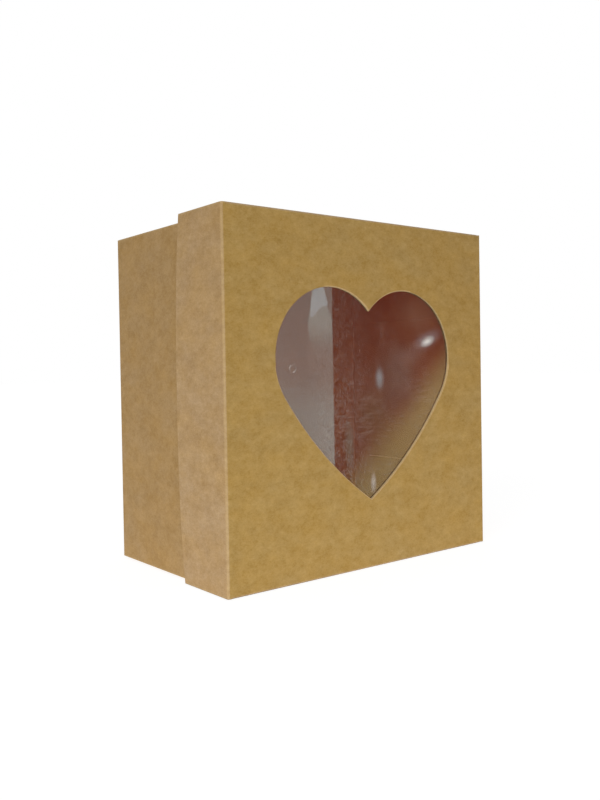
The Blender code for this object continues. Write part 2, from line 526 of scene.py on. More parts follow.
@dataclass(frozen=True)
class ClearFilm:
    """Clear PVC film, calendered between polished rollers.

    To the eye it is as clear and as glossy as glass, and what it mirrors is sharp.
    It draws fine dust and is rubbed in the lid's lower half.

    Attributes:
        name: The material's name.
        tint: The colour that it gives what is seen through it.
        lamp_dimming: The colour that it gives a lamp's light: darker than its clear tint, which
            paints shade inside the box.
        ior: Its refractive index.
        roughness: How far its reflections blur.
        dust_colour: The colour of dust and of scratches.
        veil: The share that an even veil of fine dust hides.
        rubs: Level rub marks, drawn wider than real ones so that they show.
        rub_patches: The patches that have rub marks.
        rub_heights: The heights between which rub marks begin, downwards.
        dust: Clusters of dust, whose own grains are too fine to show.
        dust_patches: The patches that have dust.
        dust_band: The X and half width of an upright band with more dust, and how much.
        settled: The heights between which dust in the band grows, and the shares there.
        curl: The middle (X, Z) and the radius of one curled scratch.
        curl_line: The curled scratch's half width and the share that it hides.
        breaks: The patches where the curled scratch shows.
        most: The largest share that marks hide together.
    """

    name: str = "clear_pvc_film"
    tint: str = "#F7F6F3"
    lamp_dimming: str = "#CDCAC4"
    ior: float = 1.53
    roughness: float = 0.018
    dust_colour: str = "#D8D2C8"
    veil: float = 0.012
    rubs: Mottling = Mottling((7 * MM, 7 * MM, 0.6 * MM), low=0.52, high=0.8, top=0.11)
    rub_patches: Mottling = Mottling((22 * MM,) * 3, detail=1.0, low=0.42, high=0.62)
    rub_heights: tuple[float, float] = (140 * MM, 98 * MM)
    dust: Mottling = Mottling((0.9 * MM, 0.9 * MM, 1.44 * MM), low=0.48, high=0.76, top=0.21)
    dust_patches: Mottling = Mottling((14 * MM, 14 * MM, 30 * MM), low=0.48, high=0.75, top=0.4)
    dust_band: Point = (-21 * MM, 26 * MM, 0.85)
    settled: tuple[float, float, float, float] = (126 * MM, 70 * MM, 0.45, 0.8)
    curl: Point = (-55.4 * MM, 115.7 * MM, 2.1 * MM)
    curl_line: tuple[float, float] = (0.45 * MM, 0.4)
    breaks: Mottling = Mottling((2 * MM,) * 3, low=0.46, high=0.6, top=0.7)
    most: float = 0.6

    def marks(self, tree: bpy.types.NodeTree) -> bpy.types.Node:
        """Draw how much each place of the film hides: its veil, dust and scratches.

        Args:
            tree: The node tree to add to.

        Returns:
            The node that gives the hidden share.
        """
        place = add_node(tree, "TexCoord").outputs["Object"]
        across, _, up = add_node(tree, "SeparateXYZ", place).outputs
        below = add_node(tree, "MapRange", up, *self.rub_heights)
        patches = self.rub_patches.draw(tree, place)
        rubbed = add_node(tree, "Math", patches, below, operation="MULTIPLY")

        middle, half_width, strength = self.dust_band
        beside = add_node(tree, "Math", across, middle, operation="SUBTRACT")
        beside = add_node(tree, "Math", beside, beside, operation="MULTIPLY")
        band = add_node(tree, "MapRange", beside, half_width**2, 0.0, 0.0, strength)
        settled = add_node(tree, "MapRange", up, *self.settled)
        patches = self.dust_patches.draw(tree, place)
        dusty = add_node(tree, "Math", band, settled, patches, operation="MULTIPLY_ADD")

        x, z, radius = self.curl
        half_width, strength = self.curl_line
        flat = add_node(tree, "VectorMath", place, (1, 0, 1), operation="MULTIPLY")
        away = add_node(tree, "VectorMath", flat, (x, 0, z), operation="DISTANCE").outputs[1]
        off = add_node(tree, "Math", away, radius, operation="SUBTRACT")
        off = add_node(tree, "Math", off, off, operation="MULTIPLY")
        curled = add_node(tree, "MapRange", off, half_width**2, 0.0, 0.0, strength)

        total = self.veil
        for pattern, where in ((self.rubs, rubbed), (self.dust, dusty), (self.breaks, curled)):
            share = pattern.draw(tree, place)
            total = add_node(tree, "Math", share, where, total, operation="MULTIPLY_ADD")
        return add_node(tree, "Clamp", total, 0.0, self.most)

    def build(self) -> bpy.types.Material:
        """Build the film's material, which lets lamps light what is behind it, dimmed as painted
        shade.

        Returns:
            The finished material.
        """
        material, tree = new_material(self.name)
        sheet = {
            "Base Color": linear(self.tint),
            "Roughness": self.roughness,
            "IOR": self.ior,
            "Transmission Weight": 1.0,
        }
        seen = add_node(tree, "BsdfPrincipled", inputs=sheet)
        # Lamps' light through the film is dimmed more than the clear film dims it: painted shade
        # inside the box
        ray = add_node(tree, "LightPath").outputs["Is Shadow Ray"]
        lit = add_node(tree, "BsdfTransparent", linear(self.lamp_dimming))
        clear = add_node(tree, "MixShader", ray, seen, lit)
        dust = add_node(tree, "BsdfDiffuse", linear(self.dust_colour))
        mixed = add_node(tree, "MixShader", self.marks(tree), clear, dust)
        add_node(tree, "OutputMaterial", mixed)
        return material


@dataclass(frozen=True)
class PlainFinish:
    """A finish with slight mottling and a low relief: a cut board edge or dried glue.

    Attributes:
        name: The material's name.
        colour: Its colour.
        second: The colour that it wanders to.
        grain_size: The size of its mottling and of its relief.
        roughness: How matt it is.
        relief: The height of its relief.
    """

    name: str
    colour: str
    second: str
    grain_size: float
    roughness: float
    relief: float = 0.05 * MM

    def build(self) -> bpy.types.Material:
        """Build the finish.

        Returns:
            The finished material.
        """
        material, tree = new_material(self.name)
        place = add_node(tree, "TexCoord").outputs["Object"]
        grain = Mottling((self.grain_size,) * 3, detail=3.0).draw(tree, place)
        level = add_node(tree, "MapRange", grain, 0.3, 0.7)
        mix = {6: linear(self.colour), 7: linear(self.second)}
        relief = {"Height": grain, "Strength": 0.4, "Distance": self.relief}
        surface = {
            "Base Color": add_node(tree, "Mix", level, inputs=mix, data_type="RGBA").outputs[2],
            "Roughness": self.roughness,
            "Normal": add_node(tree, "Bump", inputs=relief),
        }
        add_node(tree, "OutputMaterial", add_node(tree, "BsdfPrincipled", inputs=surface))
        return material


# Board cut with a steel rule: to the eye, its plies are paler and rougher than its
# liners. Their own 0.1 mm is too fine to show, and is drawn as 0.6 mm.
CUT_LID_EDGE = PlainFinish("die_cut_board_edge", "#C3A577", "#A98A5A", 0.6 * MM, 0.9)
CUT_BASE_EDGE = PlainFinish("die_cut_base_edge", "#A97C52", "#98693F", 0.6 * MM, 0.9)
# Glue laid hot and left to set: to the eye, honey-coloured, wavy and half glossy
DRIED_GLUE = PlainFinish("dried_hot_melt_glue", "#D8C79A", "#CDB985", 2.0 * MM, 0.35)


# --------------------------------------------------------------------------- pieces


class Area(Enum):
    """A tray's areas, each with the number of its material slot."""

    WALL = 0
    FACE = 1
    EDGE = 2
    INSIDE = 3


@dataclass(frozen=True)
class TrayFinishes:
    """The finished materials of one tray, in the order of its areas."""

    wall: bpy.types.Material
    face: bpy.types.Material
    edge: bpy.types.Material
    inside: bpy.types.Material


@dataclass
class FoldedTray:
    """A square tray folded from one die-cut board blank.

    The face panel has four walls. The top and bottom walls end in corner flaps,
    which are tucked and glued inside the left and right walls.

    Attributes:
        name: The piece's name.
        body: The body that it rides on.
        side: Its outer side.
        depth: Its outer depth, from the face to the open rim.
        front: The Y of its face.
        middle_height: The height of its face's middle.
        away: 1 where its walls run towards +Y from the face, -1 towards -Y.
        flap_length: A flap's length, from the outer side of its crease.
        flap_taper: How far each slanted side of a flap draws in.
        bow: How far the middle of a side wall's rim stands out.
        finishes: Its finished materials.
        slot: Its material slot in the record; not used.
        board: The board's thickness.
        inner_radius: A fold's inner radius.
        glue_gap: The gap between a flap and the wall that it is glued to.
        end_clearance: How far the side walls' ends stay inside the outer size.
        slit: The gap between a flap's fold and the side wall's.
        flap_fold_clearance: How far a flap stays from the fold at the face.
        flap_rim_clearance: How far it stays from the open rim.
        flap_corner: The radius of its free corners.
        edge_radius: How round the cut edges are.
        edge_angle: The angle from which an edge is rounded.
        bow_exponent: How flat the bow's middle is; 2 is a parabola.
        seen_from: The share of the depth at which a place sees the whole inside.
        fold_steps: The number of flat steps in a fold.
        length_steps: The number of steps along a side wall.
        flap_steps: The number of steps along a flap.
    """

    name: str
    body: str
    side: float
    depth: float
    front: float
    middle_height: float
    away: int
    flap_length: float
    flap_taper: float
    bow: float
    finishes: TrayFinishes
    slot: str
    board: float = 1.0 * MM
    inner_radius: float = 0.3 * MM
    glue_gap: float = 0.3 * MM
    end_clearance: float = 0.3 * MM
    slit: float = 0.3 * MM
    flap_fold_clearance: float = 1.5 * MM
    flap_rim_clearance: float = 2.0 * MM
    flap_corner: float = 3.0 * MM
    edge_radius: float = 0.12 * MM
    edge_angle: float = math.radians(50)
    bow_exponent: float = 2.5
    seen_from: float = 0.6
    fold_steps: int = 8
    length_steps: int = 24
    flap_steps: int = 5

    def __post_init__(self) -> None:
        """Work out the places that the folds follow from."""
        self.outer_radius = self.board + self.inner_radius
        self.half = self.side / 2
        self.fold_start = self.half - self.outer_radius
        self.flap_fold = self.half - self.board - self.glue_gap - self.outer_radius
        self.flap_start = self.outer_radius + self.flap_fold_clearance
        self.flap_end = self.depth - self.flap_rim_clearance

    def out(self, distance: float) -> float:
        """Give the Y of a distance from the face towards the open rim."""
        return self.front + self.away * distance

    def build(self) -> bpy.types.Object:
        """Fold the whole tray and dress it.

        Returns:
            The tray's object.
        """
        item = self.fold_sides()
        for end in (1, -1):
            self.fold_end_wall(item, end)
            for side in (1, -1):
                self.fold_flap(item, end, side)
        with edit_mode(item):
            tidy_normals()
        self.bow_sides(item)
        self.dress(item)
        self.round_edges(item)
        self.flatten_corners(item)
        finish_shape(item)
        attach(item, self.body)
        return item

    def fold_sides(self) -> bpy.types.Object:
        """Fold the face panel and both side walls: half a cross-section, mirrored, drawn up.

        Returns:
            The tray's object so far.
        """
        low = self.middle_height - self.half + self.end_clearance
        length = self.side - 2 * self.end_clearance
        middle = (self.flap_fold / 2, self.out(self.board / 2), low)
        item = new_plane(self.name, self.flap_fold, self.board, middle)
        with edit_mode(item):
            pick(item, Select.EDGES, lambda edge, place: place.x > self.flap_fold - NEAR)
            extrude((self.slit, 0, 0))
            extrude((self.fold_start - self.flap_fold - self.slit, 0, 0))
            centre = (self.fold_start, self.out(self.outer_radius), low)
            spin(self.away * math.pi / 2, centre, (0, 0, 1), self.fold_steps)
            for reach in (self.depth - self.outer_radius - self.board, self.board):
                extrude((0, self.away * reach, 0))
            bpy.ops.mesh.select_all(action="SELECT")
            bpy.ops.mesh.symmetrize(direction="POSITIVE_X", threshold=MERGE)
            bpy.ops.mesh.select_mode(type="FACE")
            bpy.ops.mesh.select_all(action="SELECT")
            for _ in range(self.length_steps):
                extrude((0, 0, length / self.length_steps))
            for end in (1, -1):
                self.clear_end(item, end)
        return item

    def clear_end(self, item: bpy.types.Object, end: int) -> None:
        """Draw the face panel's end back to where its fold starts.

        Args:
            item: The tray's object, in edit mode.
            end: 1 for the top, -1 for the bottom.
        """
        edge = self.middle_height + end * (self.half - self.end_clearance)
        pick(
            item,
            Select.VERTS,
            lambda vert, place: abs(place.z - edge) < NEAR
            and abs(place.x) < self.flap_fold + NEAR,
        )
        back = self.outer_radius - self.end_clearance
        bpy.ops.transform.translate(value=(0, 0, -end * back))

    def fold_end_wall(self, item: bpy.types.Object, end: int) -> None:
        """Fold the top or bottom wall from the face panel's end.

        Args:
            item: The tray's object.
            end: 1 for the top, -1 for the bottom.
        """
        edge = self.middle_height + end * self.fold_start
        with edit_mode(item):
            pick(
                item,
                Select.FACES,
                lambda face, place: abs(place.z - edge) < NEAR
                and abs(face.normal.z) > FACING
                and abs(place.x) < self.flap_fold,
            )
            centre = (0, self.out(self.outer_radius), edge)
            spin(-self.away * end * math.pi / 2, centre, (1, 0, 0), self.fold_steps)
            reached = self.outer_radius
            for target in (
                self.flap_start,
                self.flap_end,
                self.depth - self.board,
                self.depth,
            ):
                extrude((0, self.away * (target - reached), 0))
                reached = target

    def fold_flap(self, item: bpy.types.Object, end: int, side: int) -> None:
        """Fold one corner flap from the end of the top or bottom wall.

        Args:
            item: The tray's object.
            end: 1 for the top, -1 for the bottom.
            side: 1 for the right, -1 for the left.
        """
        crease = side * self.flap_fold
        height = self.middle_height + end * self.fold_start
        centre_y = self.out((self.flap_start + self.flap_end) / 2)
        outer = self.middle_height + end * (self.half - self.board / 2)
        width = self.flap_end - self.flap_start
        step = (self.flap_length - self.outer_radius) / self.flap_steps
        with edit_mode(item):
            pick(
                item,
                Select.FACES,
                lambda face, place: abs(place.x - crease) < NEAR
                and abs(place.y - centre_y) < NEAR
                and abs(place.z - outer) < NEAR,
            )
            centre = (crease, centre_y, height)
            spin(end * side * math.pi / 2, centre, (0, 1, 0), self.fold_steps)
            for count in range(self.flap_steps):
                extrude((0, 0, -end * step))
                before = width - 2 * self.flap_taper * count / self.flap_steps
                after = width - 2 * self.flap_taper * (count + 1) / self.flap_steps
                bpy.ops.transform.resize(value=(1, after / before, 1), center_override=centre)
            tip = self.middle_height + end * (self.half - self.flap_length)
            pick(
                item,
                Select.EDGES,
                lambda part, place: abs(place.z - tip) < NEAR
                and place.x * side > self.flap_fold
                and abs(part.verts[0].co.x - part.verts[1].co.x) > self.board / 2,
            )
            bpy.ops.mesh.bevel(offset=self.flap_corner, segments=4, affect="EDGES")

    def bow_sides(self, item: bpy.types.Object) -> None:
        """Bow both side walls and the flaps in them outwards, most at mid rim.

        Args:
            item: The folded tray.
        """
        if not self.bow:
            return
        reach = self.depth - self.outer_radius
        for side in (1, -1):
            group = item.vertex_groups.new(name=f"bow_{side}")
            for vert in item.data.vertices:
                place = vert.co
                if place.x * side < self.flap_fold + NEAR:
                    continue
                height = abs(2 * (place.z - self.middle_height) / self.side)
                out = ((place.y - self.front) * self.away - self.outer_radius) / reach
                weight = (1 - min(1.0, height) ** self.bow_exponent) * max(0.0, out)
                if weight > 0:
                    group.add([vert.index], weight, "REPLACE")
            apply_modifier(
                item,
                "DISPLACE",
                direction="X",
                strength=side * self.bow,
                mid_level=0.0,
                vertex_group=group.name,
            )
        item.vertex_groups.clear()

    def is_cut_edge(self, face: bmesh.types.BMFace, place: Vector) -> bool:
        """Say whether a face is a die-cut edge: one board thick, square to both liners."""
        square = [edge for edge in face.edges if edge.calc_face_angle(0.0) > SQUARE]
        crossing = [
            edge for edge in face.edges if abs(edge.calc_length() - self.board) < NEAR
        ]
        return len(crossing) >= 2 and len([edge for edge in square if edge not in crossing]) >= 2

    def dress(self, item: bpy.types.Object) -> None:
        """Give each face of the tray its finish.

        Args:
            item: The folded tray.
        """
        cavity = Vector((0, self.out(self.depth * self.seen_from), self.middle_height))
        for area in Area:
            item.data.materials.append(getattr(self.finishes, area.name.lower()))
        tests = {
            Area.FACE: lambda face, place: face.normal.y * self.away < -FACING
            and abs(place.y - self.front) < NEAR,
            Area.INSIDE: lambda face, place: face.normal.dot(cavity - place) > 0,
            Area.EDGE: self.is_cut_edge,
        }
        with edit_mode(item):
            for area, test in tests.items():
                pick(item, Select.FACES, test)
                item.active_material_index = area.value
                bpy.ops.object.material_slot_assign()

    def round_edges(self, item: bpy.types.Object) -> None:
        """Round the tray's cut edges a little.

        Args:
            item: The tray with its finishes.
        """
        apply_modifier(
            item,
            "BEVEL",
            width=self.edge_radius,
            segments=2,
            limit_method="ANGLE",
            angle_limit=self.edge_angle,
            loop_slide=False,
        )

    def flatten_corners(self, item: bpy.types.Object) -> None:
        """Push back the corners that rounding drew a little past the outer faces.

        Args:
            item: The tray with its rounded edges.
        """
        faces = (
            (1, self.front, -self.away),
            (2, self.middle_height + self.half, 1),
            (2, self.middle_height - self.half, -1),
        )
        with edit_mode(item):
            for axis, limit, sign in faces:
                found = pick(
                    item,
                    Select.VERTS,
                    lambda vert, place: (place[axis] - limit) * sign > PAST,
                )
                if found:
                    flat, centre = [1.0, 1.0, 1.0], [0.0, 0.0, 0.0]
                    flat[axis], centre[axis] = 0.0, limit
                    bpy.ops.transform.resize(value=flat, center_override=centre)


@dataclass
class HeartWindow:
    """The heart-shaped window that is die-cut through the lid's face.

    Each half of it is a round lobe and a flatter flank, which touch smoothly.

    Attributes:
        middle_height: The height of its middle.
        front: The Y of the lid's face.
        board: The board's thickness.
        width: The heart's width.
        height: Its height.
        cleft: How far the cleft lies below the lobes' tops.
        flank_radius: The flanks' radius.
        lip: How far its front edge is rounded.
        lobe_steps: The number of steps round a lobe.
        flank_steps: The number of steps along a flank.
    """

    middle_height: float
    front: float
    board: float = 1.0 * MM
    width: float = 135.6 * MM
    height: float = 120.8 * MM
    cleft: float = 12.7 * MM
    flank_radius: float = 216.0 * MM
    lip: float = 0.6 * MM
    lobe_steps: int = 60
    flank_steps: int = 24

    def draw(self, name: str, y: float) -> bpy.types.Object:
        """Draw half the heart as two arcs, mirror it and fill it.

        Args:
            name: The name of the heart.
            y: The Y of its plane.

        Returns:
            A flat heart with the window's outline.
        """
        half = self.width / 2
        radius = self.cleft + half - math.sqrt(2 * self.cleft * half)
        lobe = Vector((half - radius, self.height / 2 - radius))
        tip = Vector((0.0, -self.height / 2))
        apart = (lobe - tip).length
        towards = (lobe - tip) / apart
        flank = self.flank_radius
        along = (flank**2 - (flank - radius) ** 2 + apart**2) / (2 * apart)
        aside = math.sqrt(flank**2 - along**2)
        centre = tip + along * towards + aside * Vector((-towards.y, towards.x))
        start = math.acos(-lobe.x / radius)
        touch = math.atan2(lobe.y - centre.y, lobe.x - centre.x)
        end = math.atan2(tip.y - centre.y, tip.x - centre.x)

        item = new_plane(name, 1 * MM, 1 * MM, (0, 0, 0))
        with edit_mode(item):
            bpy.ops.mesh.select_all(action="SELECT")
            bpy.ops.mesh.merge(type="CENTER")
            cleft_top = lobe.y + radius * math.sin(start)
            bpy.ops.transform.translate(value=(0, y, self.middle_height + cleft_top))
            around = (lobe.x, y, self.middle_height + lobe.y)
            spin(start - touch, around, (0, 1, 0), self.lobe_steps)
            around = (centre.x, y, self.middle_height + centre.y)
            spin(touch - end, around, (0, 1, 0), self.flank_steps)
            bpy.ops.mesh.select_all(action="SELECT")
            bpy.ops.mesh.symmetrize(direction="POSITIVE_X", threshold=MERGE)
            bpy.ops.mesh.select_all(action="SELECT")
            bpy.ops.mesh.remove_doubles(threshold=WELD)
            bpy.ops.mesh.edge_face_add()
        return item

    def cut(self, panel: bpy.types.Object) -> None:
        """Cut the window through the lid's face.

        Args:
            panel: The lid, before its cut edges are rounded.
        """
        cutter = self.draw("heart_cutter", self.front - self.board)
        with edit_mode(cutter):
            bpy.ops.mesh.select_all(action="SELECT")
            extrude((0, 3 * self.board, 0))
            tidy_normals()
        apply_modifier(panel, "BOOLEAN", object=cutter, operation="DIFFERENCE", solver="EXACT")
        bpy.data.objects.remove(cutter, do_unlink=True)

    def round_lip(self, panel: bpy.types.Object, edge_slot: int) -> None:
        """Round the window's front edge, which the die presses down and leaves pale, partly as a
        painted highlight of the rounded lip.

        Args:
            panel: The lid with its window cut.
            edge_slot: The lid's material slot for cut edges.
        """
        middle = Vector((0, self.front, self.middle_height))
        reach = max(self.width, self.height) / 2 + 2 * MM
        with edit_mode(panel):
            pick(
                panel,
                Select.EDGES,
                lambda edge, place: abs(place.y - self.front) < NEAR
                and (place - middle).length < reach
                and edge.calc_face_angle(0.0) > SQUARE,
            )
            # The lip's pale finish: die-crushed fibres, and partly a painted highlight of the
            # rounded lip
            bpy.ops.mesh.bevel(
                offset=self.lip, segments=3, affect="EDGES", material=edge_slot
            )


@dataclass
class LidTray(FoldedTray):
    """The lid: a shallow tray with the heart window in its face."""

    window: HeartWindow | None = None

    def dress(self, item: bpy.types.Object) -> None:
        """Cut the window, then dress the lid as any tray.

        Args:
            item: The folded tray.
        """
        if self.window:
            self.window.cut(item)
        super().dress(item)

    def round_edges(self, item: bpy.types.Object) -> None:
        """Round the window's lip, then the cut edges as on any tray.

        Args:
            item: The lid with its finishes.
        """
        if self.window:
            self.window.round_lip(item, Area.EDGE.value)
        super().round_edges(item)


@dataclass
class WindowFilm:
    """The clear film behind the window, which is the CAD node with its finish.

    Attributes:
        node: The node's name.
        finish: The film's finish.
    """

    node: str = "window_film"
    finish: ClearFilm = ClearFilm()

    def build(self) -> bpy.types.Object:
        """Give the film its finish.

        Returns:
            The CAD node.
        """
        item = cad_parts[self.node]
        material = self.finish.build()
        for place in item.material_slots:
            place.material = material
        return item


@dataclass
class GlueLine:
    """The glue line that holds the film behind the lid's face, round the window.

    Attributes:
        window: The window, whose outline it follows.
        back: The Y of the face panel's inner surface.
        gap: The room between the face panel and the film.
        finish: What the dried glue looks like.
        inner: Its inner outline's size, where the window's is 1.
        outer: Its outer outline's size, where the window's is 1.
        play: The gap on each side of the line, which keeps solids apart.
    """

    window: HeartWindow
    back: float
    gap: float
    finish: PlainFinish
    inner: float = 1.0015
    outer: float = 1.07
    play: float = 0.03 * MM

    def build(self) -> bpy.types.Object:
        """Draw the line as a heart-shaped ring and give it its thickness.

        Returns:
            The glue line.
        """
        y = self.back + self.play
        middle = (0, y, self.window.middle_height)
        item = self.window.draw("film_glue_line", y)
        with edit_mode(item):
            bpy.ops.mesh.select_all(action="SELECT")
            size = (self.inner, 1, self.inner)
            bpy.ops.transform.resize(value=size, center_override=middle)
            extrude((0, 0, 0))
            size = (self.outer / self.inner, 1, self.outer / self.inner)
            bpy.ops.transform.resize(value=size, center_override=middle)
            # The heart is the only face with more than four corners; a ring is left
            pick(item, Select.FACES, lambda face, place: len(face.verts) > 4)
            bpy.ops.mesh.delete(type="ONLY_FACE")
            bpy.ops.mesh.select_all(action="SELECT")
            extrude((0, self.gap - 2 * self.play, 0))
            tidy_normals()
        item.data.materials.append(self.finish.build())
        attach(item, "lid")
        return item


# --------------------------------------------------------------------------- studio


def seen_directly(tree: bpy.types.NodeTree) -> bpy.types.Node:
    """Give 1 for camera, glossy and transmission rays, and 0 for light on its way.

    Args:
        tree: The node tree to add to.

    Returns:
        The node that gives that number.
    """
    path = add_node(tree, "LightPath").outputs
    seen = path["Is Camera Ray"]
    for ray in ("Is Glossy Ray", "Is Transmission Ray"):
        seen = add_node(tree, "Math", seen, path[ray], operation="MAXIMUM")
    depth = path["Diffuse Depth"]
    unscattered = add_node(tree, "Math", depth, FIRST_BOUNCE, operation="LESS_THAN")
    return add_node(tree, "Math", seen, unscattered, operation="MULTIPLY")


class Fade(Enum):
    """How a card's glow ends: sharply, or towards its rim, its top or its bottom."""

    NONE = 0
    RIM = 1
    TOP = 2
    BOTTOM = 3


@dataclass(frozen=True)
class Reflection:
    """A painted reflection in the window film, in millimetres where it lies on the film.

    Attributes:
        name: The name of the card that makes it.
        layer: The order in front of other cards, 0 being the furthest.
        across: The X of its middle.
        height: The height of its middle.
        width: Its size across, before it is tilted.
        tall: Its size upwards, before it is tilted.
        strength: How bright the reflected thing is, where white paper is 1.
        colour: The colour of its glow.
        fade: How its glow ends.
        soft: The share of its size over which the glow ends.
        tilt: Its turn in degrees, clockwise for the viewer.
        outline: Its corners round its middle, if it is no rectangle.
    """

    name: str
    layer: int
    across: float
    height: float
    width: float
    tall: float
    strength: float
    colour: str
    fade: Fade = Fade.NONE
    soft: float = 1.0
    tilt: float = 0.0
    outline: tuple[tuple[float, float], ...] = ()


LEAF = (
    (-6.5, 13), (-8.4, 7.5), (-7.8, 1.5), (-6.0, -6), (-2.2, -11), (1.9, -13),
    (6.2, -11.5), (8.4, -7.5), (9.2, -2), (9.3, 10), (6.5, 15), (1.5, 17), (-3, 16),
)  # fmt: skip
LEAF_TIP = (
    (0, 22), (-5, 14), (-6.5, 7), (-7.5, 0), (-7.0, -4), (-3.5, -0.5),
    (0, 3), (3, 4), (6, 3), (4, 10), (1.5, 16),
)  # fmt: skip
# Painted reflections: each a glowing card that only the film mirrors, placed for the camera's eye
REFLECTIONS = (
    Reflection("pale_wall", 0, 0, 100, 260, 200, 1.58, "#FFDCCF"),
    Reflection("wall_foot", 1, -50, 62, 120, 110, 1.8, "#FFF7EE", Fade.TOP, 0.5),
    # A reddish glow over the window's right part: painted shade, the dark red of the box's inside
    # seen through the film
    Reflection("red_inside_shade", 2, 48.2, 100, 150, 190, 0.76, "#FF6036"),
    Reflection("warm_corner", 3, 43, 147, 60, 36, 1.05, "#FF9670", Fade.RIM),
    Reflection("olive_haze", 3, 6, 87, 46, 50, 0.8, "#FFAA7E", Fade.RIM),
    # A painted warm wedge of light in the window's lower right
    Reflection("warm_light_wedge", 4, 42, 60, 150, 84, 1.67, "#FFD98E", Fade.TOP, 0.6, -40),
    # A painted halo round the upper lamp highlight
    Reflection("highlight_halo", 5, 49, 131.3, 37, 13.5, 1.4, "#FFE4EC", Fade.RIM, 1, -21),
    Reflection("mauve_haze", 5, 22.8, 108, 56, 60, 0.8, "#F7B0A6", Fade.RIM),
    Reflection("shine", 6, 34, 122, 40, 18, 1.0, "#FFB2A6", Fade.RIM, 1, -12),
    Reflection("faint_post", 5, -15.5, 72, 10, 42, 0.85, "#FFCFB4", Fade.RIM, 0.9),
    # Painted highlights of lamps, from glowing cards
    Reflection("highlight_high", 7, 50.2, 130.7, 16, 7.2, 4.7, "#FFFFFA", Fade.RIM, 0.9, -21),
    Reflection("highlight_middle", 7, 8.9, 109, 9.5, 18, 2.05, "#F3F9FF", Fade.RIM),
    Reflection("highlight_low", 7, 2.8, 48.6, 6, 16, 3.5, "#FFF3E4", Fade.RIM),
    Reflection("leaf", 5, -36.4, 134, 18, 24, 2.15, "#FFF5E9", Fade.BOTTOM, 1.6, 0, LEAF),
    Reflection("leaf_tip", 6, -35.4, 146, 0, 0, 2.8, "#FDFDFD", outline=LEAF_TIP),
)


@dataclass
class Card:
    """A glowing card, which lights nothing, between the box and the camera that shows only as a
    painted reflection in the film.

    It is placed and sized by its reflection, for an eye at the camera, and goes with
    the lid, so that the film never moves past it.

    Attributes:
        shape: The reflection that it makes.
        eye: The camera's place.
        film: The Y of the film's front.
        plane: The Y of the furthest card.
        layer_gap: The gap between a card and the next in front of it.
    """

    shape: Reflection
    eye: Point = EYE
    film: float = -0.0591
    plane: float = -0.12
    layer_gap: float = 0.5 * MM

    def build(self) -> bpy.types.Object:
        """Stand the card in its place.

        Returns:
            The card.
        """
        shape = self.shape
        plane = self.plane + shape.layer * self.layer_gap
        # How far a mirrored sight line runs to the card, where the film is at 1
        reach = (2 * self.film - self.eye[1] - plane) / (self.film - self.eye[1])
        x = self.eye[0] + (shape.across * MM - self.eye[0]) * reach
        z = self.eye[2] + (shape.height * MM - self.eye[2]) * reach
        if shape.outline:
            card = self.draw_outline([(a * MM * reach, b * MM * reach) for a, b in shape.outline])
        else:
            size = (shape.width * MM * reach, shape.tall * MM * reach)
            card = new_plane(shape.name, *size, (0, 0, 0))
        card.rotation_euler = (math.pi / 2, math.radians(shape.tilt), 0)
        card.location = (x, plane, z)
        for ray in ("camera", "diffuse", "volume_scatter", "shadow"):
            setattr(card, f"visible_{ray}", False)
        card.data.materials.append(self.glow(reach))
        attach(card, "lid")
        return card

    def draw_outline(self, corners: list[tuple[float, float]]) -> bpy.types.Object:
        """Draw a card from its corners, and round them off.

        Args:
            corners: The corners in order, round the card's middle.

        Returns:
            The flat card.
        """
        card = new_plane(self.shape.name, MM, MM, (0, 0, 0))
        with edit_mode(card):
            bpy.ops.mesh.select_all(action="SELECT")
            bpy.ops.mesh.merge(type="CENTER")
            bpy.ops.transform.translate(value=(*corners[0], 0))
            for before, after in zip(corners, corners[1:]):
                extrude((after[0] - before[0], after[1] - before[1], 0))
            bpy.ops.mesh.select_all(action="SELECT")
            bpy.ops.mesh.edge_face_add()
        apply_modifier(card, "SUBSURF", levels=2, render_levels=2)
        return card

    def glow(self, reach: float) -> bpy.types.Material:
        """Build the card's glow, which shows only mirrored, before light has been scattered.

        Args:
            reach: How many times larger the card is than its reflection.

        Returns:
            The finished material.
        """
        shape = self.shape
        material, tree = new_material(shape.name)
        path = add_node(tree, "LightPath").outputs
        glossy, diffuse = path["Glossy Depth"], path["Diffuse Depth"]
        mirrored = add_node(tree, "Math", glossy, FIRST_BOUNCE, operation="GREATER_THAN")
        straight = add_node(tree, "Math", diffuse, FIRST_BOUNCE, operation="LESS_THAN")
        shown = add_node(tree, "Math", mirrored, straight, operation="MULTIPLY")
        if shape.fade is not Fade.NONE:
            # The place on the card, from -1 to 1 each way, and at the end that fades 1
            ends = -2 if shape.fade is Fade.BOTTOM else 2
            size = (2 / (shape.width * MM * reach), ends / (shape.tall * MM * reach), 1)
            place = add_node(tree, "TexCoord").outputs["Object"]
            spread = add_node(tree, "VectorMath", place, size, operation="MULTIPLY")
            if shape.fade is Fade.RIM:
                far = add_node(tree, "VectorMath", spread, operation="LENGTH").outputs[1]
            else:
                far = add_node(tree, "SeparateXYZ", spread).outputs[1]
            edge = add_node(
                tree, "MapRange", far, 1.0, 1.0 - shape.soft, interpolation_type="SMOOTHSTEP"
            )
            shown = add_node(tree, "Math", shown, edge, operation="MULTIPLY")
        light = add_node(tree, "Emission", linear(shape.colour), shape.strength)
        clear = add_node(tree, "BsdfTransparent")
        add_node(tree, "OutputMaterial", add_node(tree, "MixShader", shown, clear, light))
        return material


